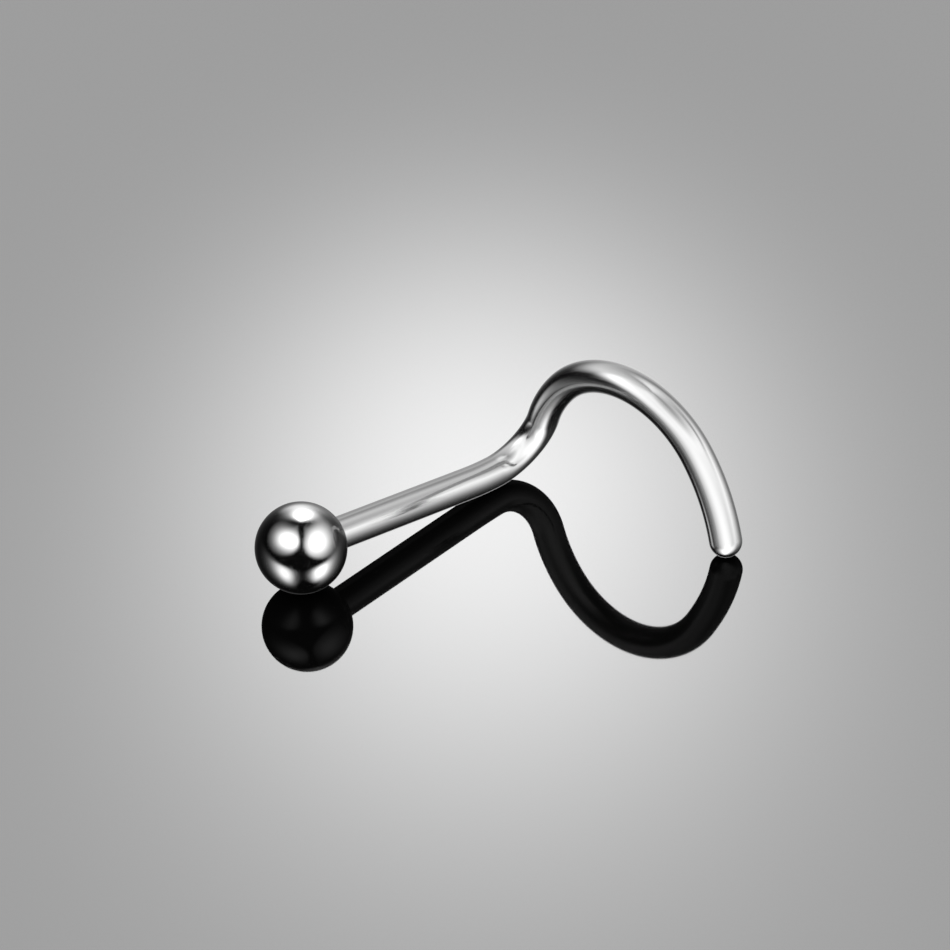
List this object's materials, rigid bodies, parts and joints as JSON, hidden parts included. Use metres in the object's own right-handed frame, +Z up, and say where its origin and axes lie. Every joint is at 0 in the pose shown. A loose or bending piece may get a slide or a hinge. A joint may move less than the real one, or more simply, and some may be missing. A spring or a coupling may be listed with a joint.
{
  "type": "nose stud",
  "caption": "Ball-end nose stud in polished steel wire: a straight post, a tight elbow, a short riser and a wide round crook; it rests on ball, elbow and tip.",
  "frame": {"origin": "centre of the stud's box, on the surface that it rests on", "axes": "+X runs level along the post from the ball to the elbow, +Z is up, and the crook swings out towards -Y"},
  "size_m": [0.0094, 0.008, 0.004],
  "materials": {
    "ball_steel": "mirror-polished surgical stainless steel, with faint polishing marks",
    "wire_steel": "drawn and polished surgical stainless steel, with fine marks along the wire"
  },
  "bodies": {
    "root": {"ball": "ball_steel", "bent_wire": "wire_steel"}
  },
  "joints": []
}
